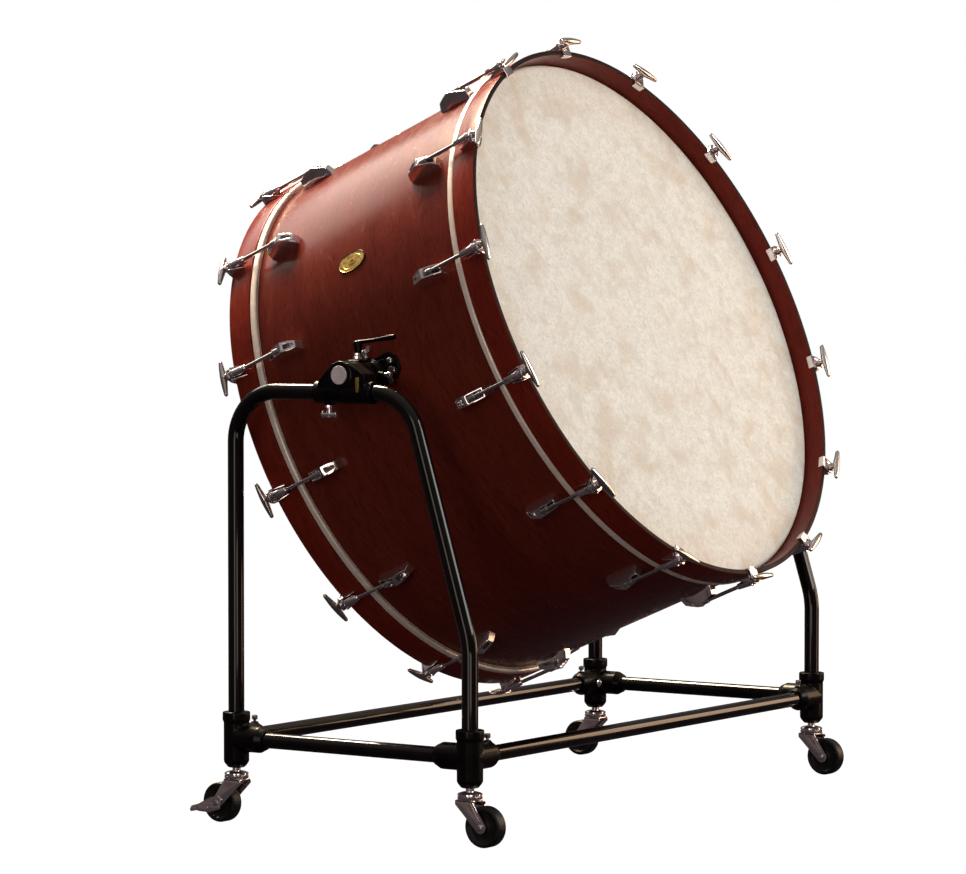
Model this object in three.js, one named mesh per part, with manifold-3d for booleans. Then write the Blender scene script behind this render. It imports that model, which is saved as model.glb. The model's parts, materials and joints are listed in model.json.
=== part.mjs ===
// A 36 by 18 inch tilting concert bass drum on a wheeled tubular stand.
// Millimetres, +Z up. The origin is on the floor, straight under the middle of the tilt axis.
// The batter head faces -Y; X runs along the tilt axis, so the left side of the stand is -X.
import * as THREE from 'three';
import * as BufferGeometryUtils from 'three/addons/utils/BufferGeometryUtils.js';
import Module from 'manifold-3d';

const wasm = await Module();
wasm.setup();

// ---------------------------------------------------------------- driving dimensions
const GAP = 0.3;                        // clearance between pieces that touch
const DRUM = {
  radius: 457.2, depth: 457.2, wall: 8, // shell, 36 in across and 18 in deep
  tilt: THREE.MathUtils.degToRad(23),   // how far the batter head looks up at rest
  pivotZ: 723,                          // height of the tilt axis
  lugs: 14,                             // tension rods on each head
  facets: 42,                           // sides of every large ring, a multiple of the lug count
};
const HEAD = { film: 1, collar: 1, clearance: 0.5, fleshRadius: 466.5, fleshDepth: 12 };
// lift is from the shell's edge back to the hoop's inner edge
const HOOP = { outer: 467.5, depth: 44.2, lift: 8.7, clearance: 0.4 };
// nose, crown and end are stations from the middle of the shell; lip, top and floor are radii
const LUG = {
  nose: 123, crown: 150, end: 184, lean: 4, width: 19, root: 3, lip: 472.5, top: 483.5,
  nut: 9, wall: 3, floor: 464, slotWidth: 13, noseSlotWidth: 9, slotSpare: 5,
};
const BADGE = { turn: THREE.MathUtils.degToRad(-64.8), along: 2, halfLength: 29, halfWidth: 18, thick: 2 };
const ROD = { radius: 3.25, axis: 478, inner: LUG.crown + LUG.nut / 2 + GAP, hubRadius: 6.5, neckRadius: 5 };
const HANDLE = { length: 62, waist: 13, tip: 4.5, height: 10, centre: 280 };
const CLAW = {
  thick: 3, bite: 1.5, width: 24, heelWidth: 13, straight: 12, reach: 37, bossRadius: 6.6,
  lipInside: 456, lipTop: 460.5, lipReach: 7,
};
const SHAFT = { radius: 13, bore: 13.35, capRadius: 14.8, end: 555 };
const BRACKET = {
  halfLong: 51, halfWide: 23, corner: 13, thick: 5, hub: 23, hubEnd: 19, screw: 3,
  topScrew: { foot: 15, tip: 34, y: -3 }, sideScrew: { foot: [-15, -7], tip: [-31, -13.5] },
  wing: { thick: 4, from: -14, to: 8, low: 28, high: 38 },
};
const FRAME = {
  halfWidth: 536,                       // middle plane of each end frame
  tube: 12.9, topZ: 695.7, footZ: 106,
  rearY: 219.5, cornerY: -118, frontY: -235.5, kneeZ: 311,
  bend: 82, kneeBend: 150,
};
const RAIL = { radius: 12.5, z: 137, start: 16.5 };
const FITTING = {
  sleeve: 20.3, collar: 22.2, bottom: 90, top: 180, collarDepth: 15,
  foot: 12.5, footDepth: 9, arm: 21, armEnd: 15.5, armLength: 61, armTaper: 11, clearance: 0.35,
  screw: { reach: 48, radius: 3.5, low: 15, high: 33 },
};
const SADDLE = {
  outer: 554, inner: 516, halfLength: 56, sleeve: 18, boss: 22,
  collarOuter: 515, collarInner: 487, collarRadius: 21,
  foot: 46, brow: 40, browRise: 20, head: 12, headRise: 18, tubeClearance: 0.35,
  ear: { from: -9, to: 15, low: 14 },
  bolt: { y: 32, radius: 5, top: 16, below: 66, barBelow: 63, barHalf: 14.5, barRadius: 4.8 },
  bossTop: 746,
};
const CASTER = {
  trail: 29, wheelRadius: 32, wheelWidth: 22, wheelFacets: 28, axle: 4, axleBore: 4.4,
  raceRadius: 19.5, raceBottom: 72, raceTop: 84, stem: 6, cheek: 2.5, cheekGap: 1.5,
};
const LEVER = { x: 500, y: 3, arm: 84, rise: 14.5, height: 774 };

// ---------------------------------------------------------------- materials
const mahogany = () => new THREE.MeshStandardMaterial({ color: 0x6e2418, roughness: 0.35, metalness: 0 });
const hoopWood = () => new THREE.MeshStandardMaterial({ color: 0x5a1c14, roughness: 0.35, metalness: 0 });
const calfFilm = () => new THREE.MeshStandardMaterial({ color: 0xf0ead8, roughness: 0.6, metalness: 0 });
const brass = () => new THREE.MeshStandardMaterial({ color: 0xb08a3c, roughness: 0.35, metalness: 1 });
const blackPaint = () => new THREE.MeshStandardMaterial({ color: 0x14100f, roughness: 0.35, metalness: 0.2 });
const castBlack = () => new THREE.MeshStandardMaterial({ color: 0x100d0c, roughness: 0.5, metalness: 0.2 });
const chrome = () => new THREE.MeshStandardMaterial({ color: 0xc9c2c0, roughness: 0.15, metalness: 1 });
const rubber = () => new THREE.MeshStandardMaterial({ color: 0x0e0d0d, roughness: 0.6, metalness: 0 });

// ---------------------------------------------------------------- solids
// A closed geometry as a solid that can be joined and cut.
function solid(geometry) {
  const bare = geometry.clone();
  bare.deleteAttribute('normal');
  bare.deleteAttribute('uv');
  const merged = BufferGeometryUtils.mergeVertices(bare, 1e-4);
  return new wasm.Manifold(new wasm.Mesh({
    numProp: 3,
    vertProperties: new Float32Array(merged.attributes.position.array),
    triVerts: new Uint32Array(merged.index.array),
  }));
}

const joined = (...geometries) => geometries.map(solid).reduce((whole, piece) => whole.add(piece));

const cutBy = (whole, ...tools) => tools.map(solid).reduce((rest, tool) => rest.subtract(tool), whole);

function geometryOf(manifold) {
  const mesh = manifold.getMesh();
  const geometry = new THREE.BufferGeometry();
  geometry.setAttribute('position', new THREE.BufferAttribute(new Float32Array(mesh.vertProperties), 3));
  geometry.setIndex(new THREE.BufferAttribute(new Uint32Array(mesh.triVerts), 1));
  geometry.computeVertexNormals();
  return geometry;
}

function named(name, geometry, material) {
  const mesh = new THREE.Mesh(geometry, material);
  mesh.name = name;
  return mesh;
}

// A round bar from one point to another; endRadius makes it a cone.
function bar(from, to, radius, sides = 16, endRadius = radius) {
  const start = new THREE.Vector3(...from);
  const end = new THREE.Vector3(...to);
  const span = end.clone().sub(start);
  const geometry = new THREE.CylinderGeometry(endRadius, radius, span.length(), sides);
  geometry.applyQuaternion(new THREE.Quaternion().setFromUnitVectors(
    new THREE.Vector3(0, 1, 0), span.clone().normalize()));
  return geometry.translate(...start.add(end).multiplyScalar(0.5).toArray());
}

// A box from its lowest to its highest corner.
function block(low, high) {
  const size = high.map((value, axis) => value - low[axis]);
  const centre = high.map((value, axis) => (value + low[axis]) / 2);
  return new THREE.BoxGeometry(...size).translate(...centre);
}

// A flat outline in the YZ plane, extruded along X from low to high.
function plateYZ(outline, low, high) {
  const settings = { depth: high - low, bevelEnabled: false, curveSegments: 5 };
  const geometry = new THREE.ExtrudeGeometry(outline, settings);
  geometry.applyMatrix4(new THREE.Matrix4().makeBasis(
    new THREE.Vector3(0, 1, 0), new THREE.Vector3(0, 0, 1), new THREE.Vector3(1, 0, 0)));
  return geometry.translate(low, 0, 0);
}

const polygon = (...points) => new THREE.Shape(points.map(([x, y]) => new THREE.Vector2(x, y)));

// A profile of [radius, along] points turned about the axis of the drum, which is -Y in the drum's
// own frame. A closed profile makes a ring; one that starts and ends at radius 0 makes a disc.
function drumTurned(points, closed) {
  const profile = points.map(([radius, along]) => new THREE.Vector2(radius, along));
  if (closed) profile.push(profile[0].clone());
  const geometry = new THREE.LatheGeometry(profile, DRUM.facets);
  return geometry.rotateX(Math.PI);
}

// ---------------------------------------------------------------- drum
// The drum's own frame: origin on the tilt axis, -Y towards the batter head, Z up its middle.
const frontSpot = (turn) => new THREE.Matrix4().makeRotationY(turn);
const rearSpot = (turn) => frontSpot(turn).multiply(new THREE.Matrix4().makeRotationZ(Math.PI));
const lugTurns = Array.from({ length: DRUM.lugs }, (_, k) => (k * 2 * Math.PI) / DRUM.lugs);
const hoopInner = DRUM.depth / 2 - HOOP.lift;
const hoopFront = hoopInner + HOOP.depth;

// One lug at the top of the front half: a casting that is highest over its nut, with a long open
// pocket for the rod on the hoop's side of the nut and a short one on the other side.
function lugGeometry() {
  const root = DRUM.radius - LUG.root;
  const side = polygon([-LUG.end, root], [-LUG.end + 1, LUG.lip], [-LUG.crown, LUG.top],
    [-LUG.nose - LUG.lean, LUG.lip], [-LUG.nose, root]);
  const body = plateYZ(side, -LUG.width / 2, LUG.width / 2);
  const pocket = (start, end, width) => block([-width / 2, -end, LUG.floor],
    [width / 2, -start, LUG.top + LUG.slotSpare]);
  return geometryOf(cutBy(solid(body),
    pocket(LUG.crown + LUG.nut / 2, LUG.end - LUG.wall, LUG.slotWidth),
    pocket(LUG.nose + LUG.lean + LUG.wall, LUG.crown - LUG.nut / 2, LUG.noseSlotWidth)));
}

function shellGeometry() {
  const half = DRUM.depth / 2;
  const inner = DRUM.radius - DRUM.wall;
  const tube = drumTurned([[inner, -half], [DRUM.radius, -half], [DRUM.radius, half], [inner, half]], true);
  const lug = lugGeometry();
  const lugs = lugTurns.flatMap((turn) => [
    lug.clone().applyMatrix4(frontSpot(turn)),
    lug.clone().applyMatrix4(rearSpot(turn)),
  ]);
  return geometryOf(joined(tube, ...lugs));
}

// A drumhead: the film, its collar over the shell's edge and the aluminium flesh hoop at its rim.
function headGeometry() {
  const edge = DRUM.depth / 2 + GAP;
  const inside = DRUM.radius + HEAD.clearance;
  const outside = inside + HEAD.collar;
  const fleshTop = hoopInner - GAP;
  const fleshBottom = fleshTop - HEAD.fleshDepth;
  return drumTurned([[0, edge], [inside, edge], [inside, fleshBottom], [HEAD.fleshRadius, fleshBottom],
    [HEAD.fleshRadius, fleshTop], [outside, fleshTop], [outside, edge + HEAD.film], [0, edge + HEAD.film]],
  false);
}

// One claw at the top of the front hoop: a hook over the hoop's front edge with a lip down its inside,
// a heel along its outside and a bored boss that the tension rod passes through.
function clawGeometry() {
  const hookFront = hoopFront + CLAW.thick;
  const heelTop = HOOP.outer + CLAW.thick;
  const heelEnd = hookFront - CLAW.reach;
  const heelFoot = HOOP.outer - CLAW.bite;
  const lipEnd = hoopFront - CLAW.lipReach;
  const side = polygon([-hookFront, CLAW.lipInside], [-hookFront, ROD.axis], [-heelEnd, heelTop],
    [-heelEnd, heelFoot], [-hoopFront + 1, heelFoot], [-hoopFront + 1, CLAW.lipTop], [-lipEnd, CLAW.lipTop],
    [-lipEnd, CLAW.lipInside]);
  const body = plateYZ(side, -CLAW.width / 2, CLAW.width / 2);
  const boss = bar([0, -heelEnd - 6, ROD.axis], [0, -hookFront, ROD.axis], CLAW.bossRadius, 6);
  const bore = bar([0, -heelEnd + 5, ROD.axis], [0, -hookFront - 5, ROD.axis], ROD.radius + 0.6, 6);
  const wide = CLAW.width / 2;
  const narrow = CLAW.heelWidth / 2;
  const plan = polygon([-narrow, -heelEnd], [-wide, CLAW.straight - hookFront], [-wide, -hookFront],
    [wide, -hookFront], [wide, CLAW.straight - hookFront], [narrow, -heelEnd]);
  const heel = new THREE.ExtrudeGeometry(plan, { depth: 40, bevelEnabled: false })
    .translate(0, 0, HOOP.outer - 20);
  return geometryOf(cutBy(solid(body).intersect(solid(heel)).add(solid(boss)), bore));
}

function hoopGeometry() {
  const inner = DRUM.radius + HEAD.clearance + HEAD.collar + HOOP.clearance;
  const ring = drumTurned([[inner, hoopInner], [HOOP.outer, hoopInner], [HOOP.outer, hoopFront],
    [inner, hoopFront]], true);
  const claw = clawGeometry();
  return joined(ring, ...lugTurns.map((turn) => claw.clone().applyMatrix4(frontSpot(turn))));
}

// A tension rod at the top of the front half, with its T-handle.
function rodGeometry() {
  const shank = bar([0, -ROD.inner, ROD.axis], [0, -HANDLE.centre, ROD.axis], ROD.radius, 8);
  const hubStart = hoopFront + CLAW.thick + GAP;
  const hub = bar([0, -hubStart, ROD.axis], [0, -HANDLE.centre, ROD.axis], ROD.hubRadius, 8, ROD.neckRadius);
  const half = HANDLE.length / 2;
  const outline = polygon([-half, -HANDLE.tip / 2], [0, -HANDLE.waist / 2], [half, -HANDLE.tip / 2],
    [half, HANDLE.tip / 2], [0, HANDLE.waist / 2], [-half, HANDLE.tip / 2]);
  const wings = new THREE.ExtrudeGeometry(outline, { depth: HANDLE.height, bevelEnabled: false })
    .translate(0, -HANDLE.centre, ROD.axis - HANDLE.height / 2);
  return geometryOf(joined(shank, hub, wings));
}

// The oval vent badge on the upper left of the shell.
function badgeGeometry() {
  const oval = new THREE.Shape().absellipse(0, 0, BADGE.halfLength, BADGE.halfWidth, 0, 2 * Math.PI);
  return new THREE.ExtrudeGeometry(oval, { depth: BADGE.thick, bevelEnabled: false, curveSegments: 12 });
}

// One side's trunnion: an oblong shell bracket with its hub, shaft, end cap and two wing screws.
// Made for the left side, in the drum's frame, so the shaft points to -X.
function trunnionGeometry() {
  const skin = DRUM.radius + GAP;
  const { halfLong, halfWide, corner, topScrew, sideScrew, wing } = BRACKET;
  const straight = halfLong - corner;
  const flat = halfWide - corner;
  const plate = plateYZ(polygon([-halfLong, -flat], [-straight, -halfWide], [straight, -halfWide],
    [halfLong, -flat], [halfLong, flat], [straight, halfWide], [-straight, halfWide], [-halfLong, flat]),
  -skin - BRACKET.thick, -skin);
  const hubEnd = SADDLE.collarInner - 1;
  const hub = bar([-skin - 2, 0, 0], [-hubEnd, 0, 0], BRACKET.hub, 20, BRACKET.hubEnd);
  const shaft = bar([-skin - 2, 0, 0], [-SADDLE.outer - 1, 0, 0], SHAFT.radius, 20);
  const cap = bar([-SADDLE.outer - GAP, 0, 0], [-SHAFT.end - 1.5, 0, 0], SHAFT.capRadius, 20);
  const screwX = -(skin + hubEnd) / 2;
  const screws = [
    bar([screwX, topScrew.y, topScrew.foot], [screwX, topScrew.y, topScrew.tip], BRACKET.screw, 8),
    bar([screwX, ...sideScrew.foot], [screwX, ...sideScrew.tip], BRACKET.screw, 8),
    block([screwX - wing.thick / 2, wing.from, wing.low], [screwX + wing.thick / 2, wing.to, wing.high]),
  ];
  return geometryOf(joined(plate, hub, shaft, cap, ...screws));
}

// ---------------------------------------------------------------- stand
// A centreline through given stations: straights take one step and bends take several.
class StationCurve extends THREE.Curve {
  constructor(stations) {
    super();
    this.stations = stations;
  }

  getPoint(t, target = new THREE.Vector3()) {
    const place = t * (this.stations.length - 1);
    const first = Math.min(Math.floor(place), this.stations.length - 2);
    return target.lerpVectors(this.stations[first], this.stations[first + 1], place - first);
  }

  getUtoTmapping(u) {
    return u;
  }
}

// The stations of a tube bent at each inner corner to the given radius.
function bentStations(corners, radii, stepsPerBend) {
  const stations = [corners[0]];
  for (let k = 1; k < corners.length - 1; k += 1) {
    const into = corners[k].clone().sub(corners[k - 1]).normalize();
    const out = corners[k + 1].clone().sub(corners[k]).normalize();
    const turn = into.angleTo(out);
    const setback = radii[k - 1] * Math.tan(turn / 2);
    const start = corners[k].clone().addScaledVector(into, -setback);
    const side = out.clone().addScaledVector(into, -out.dot(into)).normalize();
    for (let step = 0; step <= stepsPerBend[k - 1]; step += 1) {
      const angle = (turn * step) / stepsPerBend[k - 1];
      stations.push(start.clone().addScaledVector(into, radii[k - 1] * Math.sin(angle))
        .addScaledVector(side, radii[k - 1] * (1 - Math.cos(angle))));
    }
  }
  stations.push(corners[corners.length - 1]);
  return stations;
}

// One end frame: up the rear leg, over the top, and down the leaning front leg to its knee and foot.
function endFrameGeometry() {
  const corner = (y, z) => new THREE.Vector3(0, y, z);
  const stations = bentStations([
    corner(FRAME.rearY, FRAME.footZ), corner(FRAME.rearY, FRAME.topZ), corner(FRAME.cornerY, FRAME.topZ),
    corner(FRAME.frontY, FRAME.kneeZ), corner(FRAME.frontY, FRAME.footZ),
  ], [FRAME.bend, FRAME.bend, FRAME.kneeBend], [6, 5, 2]);
  const section = new THREE.Shape().absarc(0, 0, FRAME.tube, 0, 2 * Math.PI);
  return new THREE.ExtrudeGeometry(section, {
    steps: stations.length - 1, extrudePath: new StationCurve(stations), curveSegments: 7,
  });
}

// A corner fitting for the left rear post, its middle at x = y = 0: a sleeve for the post and an arm
// for each of the two rails, one towards +X and one towards -Y, all bored for their tubes. One arm,
// towards screwX and screwY, carries a set screw.
function fittingGeometry(screwX, screwY) {
  const { clearance, screw } = FITTING;
  const footTop = FITTING.bottom + FITTING.footDepth;
  const sleeve = bar([0, 0, footTop], [0, 0, FITTING.top], FITTING.sleeve, 16);
  const foot = bar([0, 0, FITTING.bottom], [0, 0, footTop], FITTING.foot, 16, FITTING.sleeve);
  const collar = bar([0, 0, FITTING.top - FITTING.collarDepth], [0, 0, FITTING.top], FITTING.collar, 16);
  const armPieces = [[1, 0], [0, -1]].flatMap(([dx, dy]) => {
    const at = (reach) => [dx * reach, dy * reach, RAIL.z];
    const straight = FITTING.armLength - FITTING.armTaper;
    return [bar(at(0), at(straight), FITTING.arm, 14),
      bar(at(straight), at(FITTING.armLength), FITTING.arm, 14, FITTING.armEnd)];
  });
  const screwAt = (lift) => [screwX * screw.reach, screwY * screw.reach, RAIL.z + lift];
  const setScrew = bar(screwAt(screw.low), screwAt(screw.high), screw.radius, 6);
  const postBore = bar([0, 0, FRAME.footZ - 1], [0, 0, FITTING.top + 5], FRAME.tube + clearance, 14);
  const stemBore = bar([0, 0, FITTING.bottom - 5], [0, 0, FRAME.footZ], CASTER.stem + clearance, 10);
  const railBores = [[1, 0], [0, -1]].map(([dx, dy]) => bar(
    [dx * (RAIL.start - 0.4), dy * (RAIL.start - 0.4), RAIL.z],
    [dx * (FITTING.armLength + 5), dy * (FITTING.armLength + 5), RAIL.z], RAIL.radius + clearance, 14));
  return geometryOf(cutBy(joined(sleeve, foot, collar, ...armPieces, setScrew), postBore, stemBore,
    ...railBores));
}

// The left saddle clamp: a casting round the top tube and the shaft, the clamp collar inboard of it
// with the boss that the tilt lever screws into, and the T-bolt under the tube.
function saddleGeometry() {
  const {
    outer, inner, halfLength, boss, collarOuter, collarInner, collarRadius, foot, brow, browRise, head,
    headRise, ear, bolt,
  } = SADDLE;
  const tubeZ = FRAME.topZ;
  const sleeve = bar([-FRAME.halfWidth, -halfLength, tubeZ], [-FRAME.halfWidth, halfLength, tubeZ],
    SADDLE.sleeve, 16);
  const bossRing = bar([-outer, 0, DRUM.pivotZ], [-inner, 0, DRUM.pivotZ], boss, 20);
  const web = plateYZ(polygon([-foot, tubeZ], [foot, tubeZ], [brow, tubeZ + browRise],
    [head, DRUM.pivotZ + headRise], [-head, DRUM.pivotZ + headRise], [-brow, tubeZ + browRise]),
  -outer + 2, -inner - 2);
  const collar = bar([-inner - 1, 0, DRUM.pivotZ], [-collarInner, 0, DRUM.pivotZ], collarRadius, 20);
  const leverBoss = block([-collarOuter, ear.from, DRUM.pivotZ + ear.low],
    [-collarInner, ear.to, SADDLE.bossTop]);
  const boltAt = (along, z) => [-FRAME.halfWidth, bolt.y + along, z];
  const shank = bar(boltAt(0, tubeZ - bolt.top), boltAt(0, DRUM.pivotZ - bolt.below), bolt.radius, 10);
  const boltBar = bar(boltAt(-bolt.barHalf, DRUM.pivotZ - bolt.barBelow),
    boltAt(bolt.barHalf, DRUM.pivotZ - bolt.barBelow), bolt.barRadius, 8);
  const shaftBore = bar([-outer - 5, 0, DRUM.pivotZ], [-collarInner + 5, 0, DRUM.pivotZ], SHAFT.bore, 20);
  const tubeBore = bar([-FRAME.halfWidth, -halfLength - 5, tubeZ], [-FRAME.halfWidth, halfLength + 5, tubeZ],
    FRAME.tube + SADDLE.tubeClearance, 14);
  return geometryOf(cutBy(joined(sleeve, bossRing, web, collar, leverBoss, shank, boltBar),
    shaftBore, tubeBore));
}

// The left tilt lever: hub and arm, standing on the collar's boss and pointing to -Y.
function leverGeometry() {
  const bottom = SADDLE.bossTop + GAP;
  const nut = bar([0, 0, bottom], [0, 0, bottom + 6], 8.5, 6);
  const hub = bar([0, 0, bottom + 5], [0, 0, LEVER.height], 6, 12, 8);
  const tip = LEVER.arm - 12;
  const arm = plateYZ(polygon([9, LEVER.height - 5], [9, LEVER.height + 1], [-tip, LEVER.height + LEVER.rise],
    [-tip, LEVER.height + LEVER.rise - 10], [-8, LEVER.height - 5]), -5, 5);
  return geometryOf(joined(nut, hub, arm));
}

// A caster fork with its stem, raceway and axle, its swivel axis on x = y = 0 and trailing to -Y.
function forkGeometry() {
  const cheekInner = CASTER.wheelWidth / 2 + CASTER.cheekGap;
  const cheekOuter = cheekInner + CASTER.cheek;
  const stem = bar([0, 0, CASTER.raceTop - 1], [0, 0, FITTING.bottom + 12], CASTER.stem, 10);
  const upperRace = bar([0, 0, CASTER.raceTop - 6], [0, 0, CASTER.raceTop], CASTER.raceRadius, 14, 13);
  const lowerRace = bar([0, 0, CASTER.raceBottom], [0, 0, CASTER.raceTop - 6], CASTER.raceRadius, 14);
  const side = polygon([19, CASTER.raceBottom + 5], [19, CASTER.raceBottom - 4],
    [-CASTER.trail + 7, CASTER.wheelRadius - 7], [-CASTER.trail - 4, CASTER.wheelRadius - 7],
    [-CASTER.trail - 9, CASTER.wheelRadius], [-16, CASTER.raceBottom - 2], [-16, CASTER.raceBottom + 5]);
  const cheeks = [plateYZ(side, -cheekOuter, -cheekInner), plateYZ(side, cheekInner, cheekOuter)];
  const axle = bar([-cheekOuter - 4, -CASTER.trail, CASTER.wheelRadius],
    [cheekOuter + 4, -CASTER.trail, CASTER.wheelRadius], CASTER.axle, 10);
  return geometryOf(joined(stem, upperRace, lowerRace, ...cheeks, axle));
}

// A wheel about the X axis through the origin, a flat facet at its bottom.
function wheelGeometry() {
  const half = CASTER.wheelWidth / 2;
  const rim = CASTER.wheelRadius / Math.cos(Math.PI / CASTER.wheelFacets);
  const profile = [[CASTER.axleBore, -half], [rim - 3, -half], [rim, -half + 3], [rim, half - 3],
    [rim - 3, half], [CASTER.axleBore, half], [CASTER.axleBore, -half]];
  return new THREE.LatheGeometry(profile.map(([r, x]) => new THREE.Vector2(r, x)), CASTER.wheelFacets)
    .rotateY(Math.PI / CASTER.wheelFacets)
    .rotateZ(-Math.PI / 2);
}

// A foot brake for a caster that trails to -Y: two side plates hung on the axle outside the fork's
// cheeks, joined beyond the wheel by the tread.
function pedalGeometry() {
  const inside = CASTER.wheelWidth / 2 + CASTER.cheekGap + CASTER.cheek + GAP;
  const outside = inside + 2;
  const { trail, wheelRadius } = CASTER;
  const side = polygon([10 - trail, wheelRadius + 3], [7 - trail, 21], [-trail - 14, 15], [-trail - 38, 16],
    [-trail - 38, 27], [-trail - 10, wheelRadius + 8], [2 - trail, wheelRadius + 10]);
  const plates = [plateYZ(side, -outside, -inside), plateYZ(side, inside, outside)];
  const tread = plateYZ(polygon([-trail - 36, 17], [-trail - 52, 14], [-trail - 54, 17], [-trail - 52, 24],
    [-trail - 36, 27]), -outside, outside);
  const bore = bar([-outside - 5, -trail, wheelRadius], [outside + 5, -trail, wheelRadius],
    CASTER.axleBore, 10);
  return geometryOf(cutBy(joined(...plates, tread), bore));
}

// ---------------------------------------------------------------- assembly
const mirrorX = new THREE.Matrix4().makeScale(-1, 1, 1);

// The right-hand copy of a left-hand geometry.
function mirrored(geometry) {
  const copy = geometry.clone().applyMatrix4(mirrorX);
  const index = copy.index;
  for (let corner = 0; corner < index.count; corner += 3) {
    const second = index.getX(corner + 1);
    index.setX(corner + 1, index.getX(corner + 2));
    index.setX(corner + 2, second);
  }
  copy.computeVertexNormals();
  return copy;
}

function buildDrum() {
  const drum = new THREE.Group();
  drum.position.z = DRUM.pivotZ;
  drum.rotation.x = -DRUM.tilt;
  drum.add(named('shell', shellGeometry(), mahogany()));

  const hoop = geometryOf(hoopGeometry());
  const head = headGeometry();
  for (const [side, turn] of [['front', 0], ['rear', Math.PI]]) {
    const half = new THREE.Group();
    half.rotation.z = turn;
    half.add(named(`${side}_hoop`, hoop.clone(), hoopWood()));
    half.add(named(`${side}_head`, head.clone(), calfFilm()));
    drum.add(half);
  }

  const badge = named('vent_badge', badgeGeometry(), brass());
  badge.applyMatrix4(frontSpot(BADGE.turn)
    .multiply(new THREE.Matrix4().makeTranslation(0, BADGE.along, DRUM.radius + 2 * GAP))
    .multiply(new THREE.Matrix4().makeRotationZ(Math.PI / 2)));
  drum.add(badge);

  const trunnion = trunnionGeometry();
  drum.add(named('left_trunnion', trunnion, castBlack()));
  drum.add(named('right_trunnion', mirrored(trunnion), castBlack()));

  const rod = rodGeometry();
  lugTurns.forEach((turn, k) => {
    const number = String(k + 1).padStart(2, '0');
    for (const [side, spot] of [['front', frontSpot(turn)], ['rear', rearSpot(turn)]]) {
      const mesh = named(`${side}_rod_${number}`, rod.clone(), chrome());
      mesh.applyMatrix4(spot);
      drum.add(mesh);
    }
  });
  return drum;
}

function buildStand() {
  const stand = new THREE.Group();
  const frameTube = endFrameGeometry();
  const saddle = saddleGeometry();
  const lever = leverGeometry();
  for (const [side, hand] of [['left', -1], ['right', 1]]) {
    const tube = named(`${side}_end_frame`, frameTube.clone(), blackPaint());
    tube.position.x = hand * FRAME.halfWidth;
    stand.add(tube);
    stand.add(named(`${side}_saddle_clamp`, hand < 0 ? saddle : mirrored(saddle), castBlack()));
    const handle = named(`${side}_tilt_lever`, lever.clone(), castBlack());
    handle.position.set(hand * LEVER.x, LEVER.y, 0);
    stand.add(handle);
    const sideRail = bar([hand * FRAME.halfWidth, FRAME.frontY + RAIL.start, RAIL.z],
      [hand * FRAME.halfWidth, FRAME.rearY - RAIL.start, RAIL.z], RAIL.radius, 14);
    stand.add(named(`${side}_rail`, sideRail, blackPaint()));
  }

  for (const [end, y] of [['front', FRAME.frontY], ['rear', FRAME.rearY]]) {
    const reach = FRAME.halfWidth - RAIL.start;
    const rail = bar([-reach, y, RAIL.z], [reach, y, RAIL.z], RAIL.radius, 14);
    stand.add(named(`${end}_rail`, rail, blackPaint()));
  }
  return stand;
}

function buildCorners() {
  const corners = new THREE.Group();
  const alongX = fittingGeometry(1, 0);
  const alongY = fittingGeometry(0, -1);
  const fork = forkGeometry();
  const wheel = wheelGeometry();
  const pedal = pedalGeometry();
  // Each corner is the left rear one turned about its post, so that both arms point inwards, with its
  // set screw on the arm of the front or rear rail.
  const places = [
    ['left_rear', -1, FRAME.rearY, alongX, 0, Math.PI],
    ['left_front', -1, FRAME.frontY, alongY, Math.PI / 2, 0],
    ['right_front', 1, FRAME.frontY, alongX, Math.PI, 0],
    ['right_rear', 1, FRAME.rearY, alongY, -Math.PI / 2, Math.PI],
  ];
  for (const [name, hand, y, fitting, fittingTurn, casterTurn] of places) {
    const joint = named(`${name}_fitting`, fitting.clone(), castBlack());
    joint.position.set(hand * FRAME.halfWidth, y, 0);
    joint.rotation.z = fittingTurn;
    corners.add(joint);

    const caster = new THREE.Group();
    caster.position.set(hand * FRAME.halfWidth, y, 0);
    caster.rotation.z = casterTurn;
    caster.add(named(`${name}_fork`, fork.clone(), chrome()));
    const roller = named(`${name}_wheel`, wheel.clone(), rubber());
    roller.position.set(0, -CASTER.trail, CASTER.wheelRadius);
    caster.add(roller);
    if (casterTurn) caster.add(named(`${name}_brake_pedal`, pedal.clone(), chrome()));
    corners.add(caster);
  }
  return corners;
}

const model = new THREE.Group();
model.add(buildDrum(), buildStand(), buildCorners());

export default model;
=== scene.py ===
"""The looks of a tilting concert bass drum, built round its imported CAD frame.

A mesh is made in millimetres and becomes an object in metres. Drum pieces are made in the drum's own
frame, where Z runs along the drum towards the batter head and Y is up the middle of the shell.
A station is the same frame turned about Z so that one tension rod stands straight up from the axis.
"""
import json
import math

import bmesh
import bpy
from mathutils import Matrix, Vector

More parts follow.
